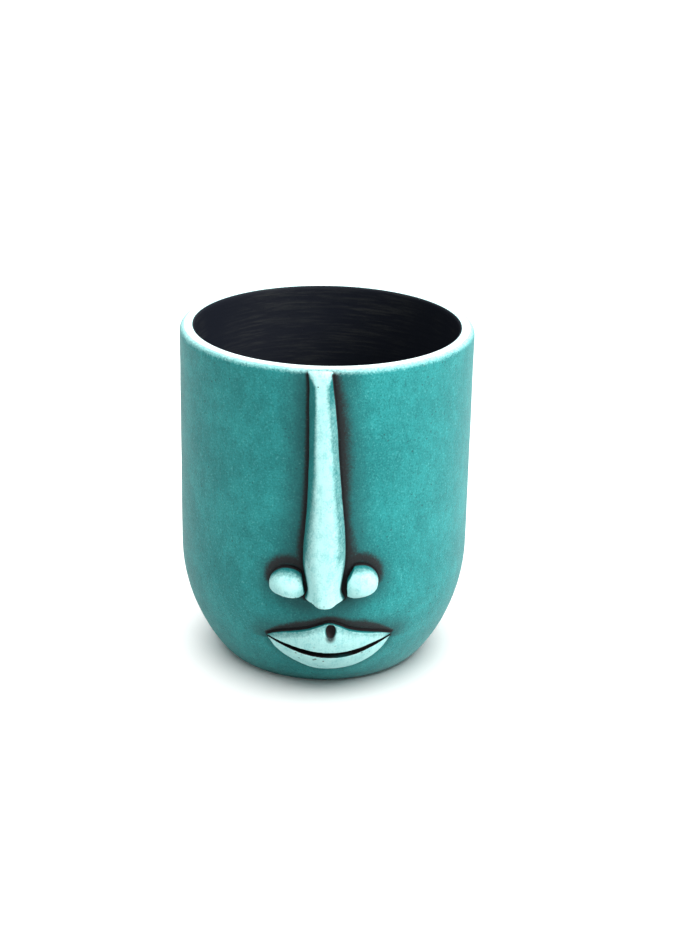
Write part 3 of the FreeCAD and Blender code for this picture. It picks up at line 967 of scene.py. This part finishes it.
def make_camera():
    """Camera a little above the rim, looking down at the face."""
    data = bpy.data.cameras.new("camera")
    data.sensor_fit = "HORIZONTAL"
    data.sensor_width = FILM_WIDTH
    data.lens = CAMERA_LENS
    data.clip_start = 0.01
    camera = bpy.data.objects.new("camera", data)
    bpy.context.scene.collection.objects.link(camera)
    down, aside = CAMERA_DOWN, CAMERA_ASIDE
    forward = Vector((math.sin(aside) * math.cos(down), math.cos(aside) * math.cos(down),
                      -math.sin(down)))
    level = Vector((math.cos(aside), -math.sin(aside), 0))
    upright = level.cross(forward)
    right = level * math.cos(CAMERA_ROLL) + upright * math.sin(CAMERA_ROLL)
    up = upright * math.cos(CAMERA_ROLL) - level * math.sin(CAMERA_ROLL)
    turn = Matrix((right, up, -forward)).transposed().to_4x4()
    camera.matrix_world = Matrix.Translation(CAMERA_PLACE) @ turn
    bpy.context.scene.camera = camera


def soft_light(name, place, width, power, tint):
    """Round soft light, aimed at the middle of the cup."""
    data = bpy.data.lights.new(name, "AREA")
    data.shape = "DISK"
    data.size = width
    data.energy = power
    data.color = tint
    light = bpy.data.objects.new(name, data)
    bpy.context.scene.collection.objects.link(light)
    light.location = place
    aim = LIT_MIDDLE - Vector(place)
    light.rotation_euler = aim.to_track_quat("-Z", "Y").to_euler()
    return light


def make_stage():
    """White card below, broad soft light overhead, a key light from the right that spares the
    card, and a weak fill from the left."""
    select_nothing()
    bpy.ops.mesh.primitive_plane_add(size=CARD_WIDTH, location=(0, 0, 0))
    card = settle("white_card")
    material = bpy.data.materials.new("white_card")
    material.use_nodes = True
    tree = material.node_tree
    surface = tree.nodes["Principled BSDF"].inputs
    seen = add(tree, "LightPath").outputs["Is Camera Ray"]
    tree.links.new(mixed(tree, seen, CARD_LIT, CARD_SEEN), surface["Base Color"])
    surface["Roughness"].default_value = 0.9
    surface["Specular IOR Level"].default_value = 0.1
    card.data.materials.append(material)
    soft_light("overhead", *OVERHEAD)
    key = soft_light("key", *KEY)
    soft_light("fill", *FILL)
    spared = bpy.data.collections.new("spared_by_key")
    spared.objects.link(card)
    spared.collection_objects[0].light_linking.link_state = "EXCLUDE"
    key.light_linking.receiver_collection = spared
    world = bpy.data.worlds.new("studio")
    world.use_nodes = True
    tree = world.node_tree
    background = tree.nodes["Background"]
    background.inputs["Color"].default_value = (1, 1, 1, 1)
    seen = add(tree, "LightPath").outputs["Is Camera Ray"]
    strength = add(tree, "MapRange", (seen, 0.0, 1.0, STUDIO_GLOW, STUDIO_SEEN)).outputs[0]
    tree.links.new(strength, background.inputs["Strength"])
    bpy.context.scene.world = world
    bpy.context.scene.view_settings.view_transform = "Standard"


# ---------------------------------------------------------------- the whole cup

def put(piece, material, slot, *nodes):
    """Give a finished piece its material, hang it under the root, and hide the parts it stands for.
    """
    piece.data.materials.clear()
    piece.data.materials.append(material)
    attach(piece, "root")
    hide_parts(*nodes)


def make_cup():
    """Model all pieces, paint them, and put them in their places."""
    stain, rub, edge = teal_stain_group(), dry_rub_group(), grainy_edge_group()
    specks, tooth = specks_group(), clay_tooth_group()
    wall_finish = stained_clay(stain, rub, edge, specks, tooth)
    face_finish = rubbed_clay(stain, rub, edge, specks, tooth)

    wall = make_wall()
    floor = make_floor()
    glaze = make_glaze()
    nose = make_nose()
    left = make_nostril(*LEFT_NOSTRIL)
    right = make_nostril(*RIGHT_NOSTRIL)
    upper = make_upper_lip()
    lower = make_lower_lip()

    paint_wall(wall, nose, (left, right), upper, lower)
    press_seams(wall)
    paint_nose(nose)
    paint_face_piece(left, NOSTRIL_DROOP)
    paint_face_piece(right, NOSTRIL_DROOP)
    paint_face_piece(upper)
    paint_face_piece(lower)
    paint_top_edge(upper, UPPER_LIP_TOP)
    paint_dimple(upper)
    paint_groove(upper, lower)
    paint_groove(lower, upper)

    put(wall, wall_finish, "painted_clay", "cup_wall")
    put(floor, bare_clay(specks, tooth), "bare_clay", "cup_floor")
    put(glaze, black_glaze(tooth), "black_glaze", "inner_glaze")
    put(nose, face_finish, "rubbed_clay", "nose_ridge")
    put(left, face_finish, "rubbed_clay", "nostril_left")
    put(right, face_finish, "rubbed_clay", "nostril_right")
    put(upper, face_finish, "rubbed_clay", "upper_lip")
    put(lower, face_finish, "rubbed_clay", "lower_lip")


make_stage()
make_camera()
make_cup()
